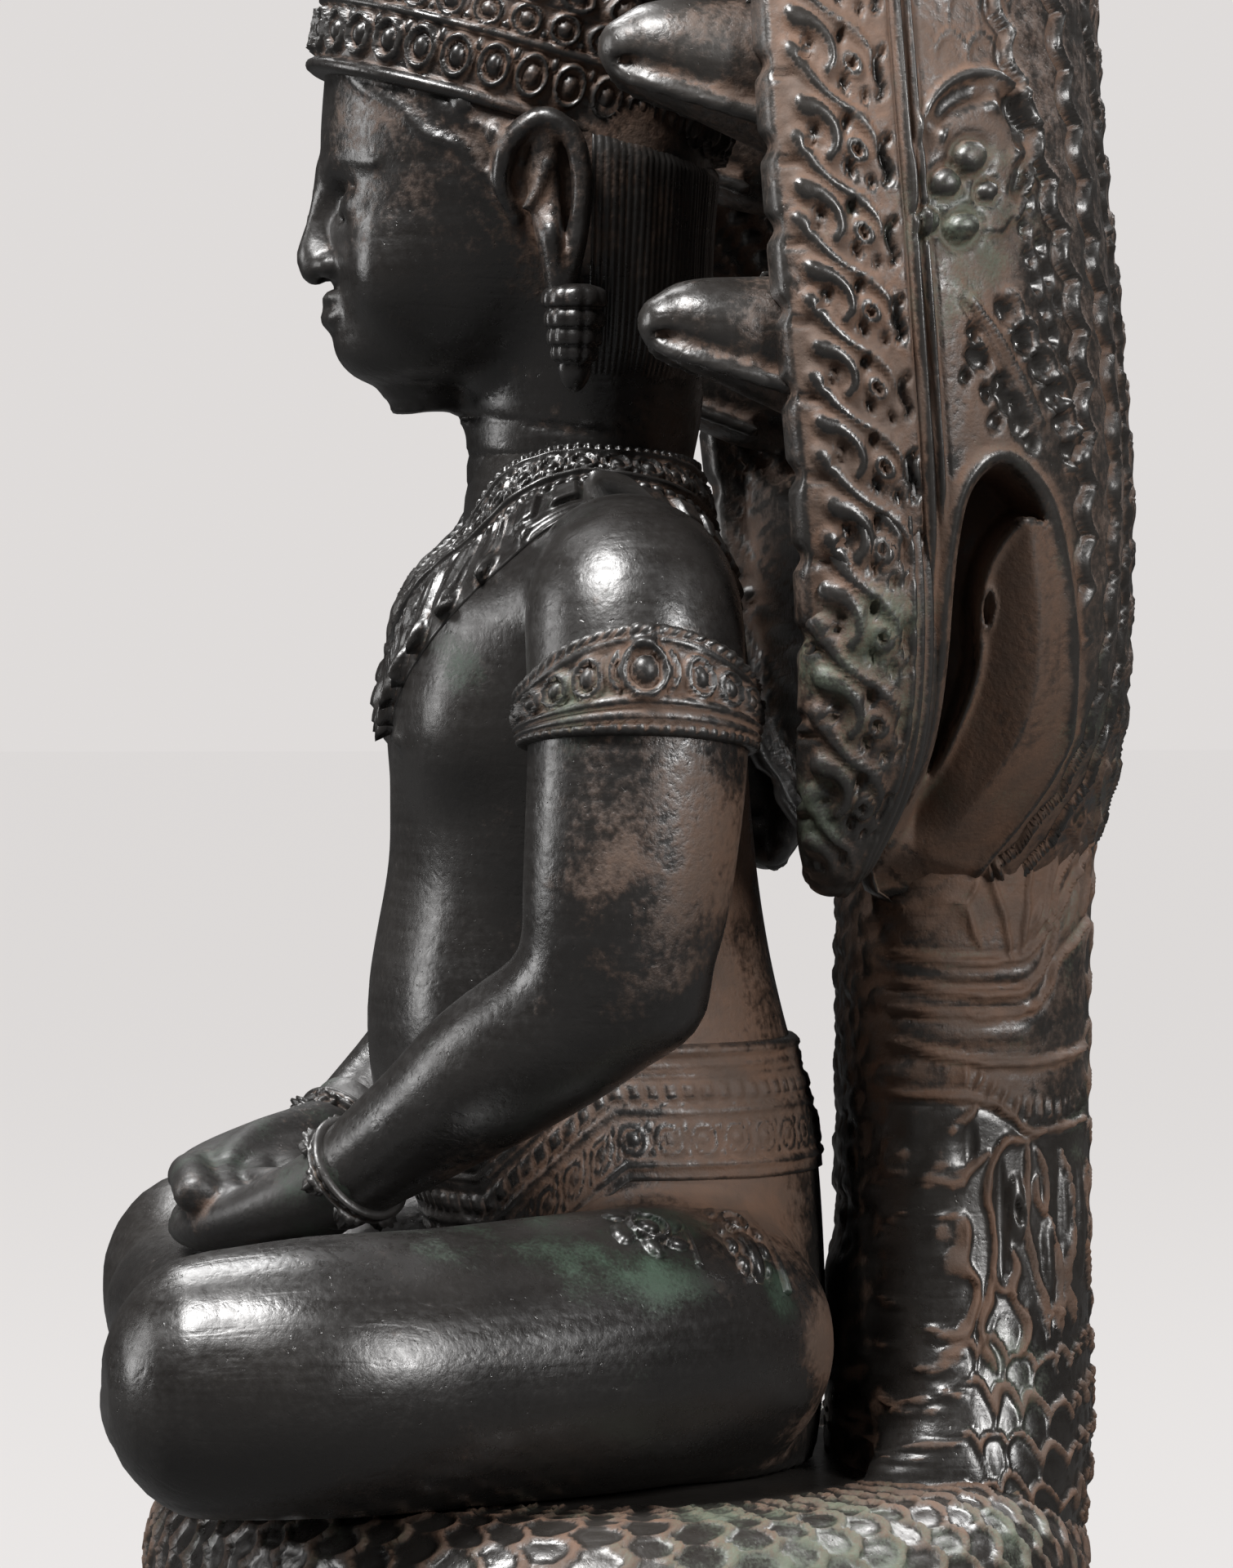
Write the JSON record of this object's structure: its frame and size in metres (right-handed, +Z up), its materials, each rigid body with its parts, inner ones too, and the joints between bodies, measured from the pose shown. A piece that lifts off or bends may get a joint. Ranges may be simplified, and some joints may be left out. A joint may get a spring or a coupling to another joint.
{
  "type": "naga buddha",
  "caption": "Bronze figure of a crowned Buddha in meditation on the coils of a many-headed serpent, whose hood rises behind it.",
  "frame": {"origin": "middle of the footprint, on the flat underside of the foot", "axes": "+Z up, the figure faces -Y, and its left side is towards +X"},
  "size_m": [0.242, 0.1988, 0.507],
  "materials": {
    "figure_bronze": "dark brown-black patina, satin, with brown deposits and spots of green",
    "serpent_bronze": "dark patina under matt brown and grey-green deposits"
  },
  "bodies": {
    "root": {"buddha_figure": "figure_bronze", "naga_throne": "serpent_bronze"}
  },
  "joints": []
}
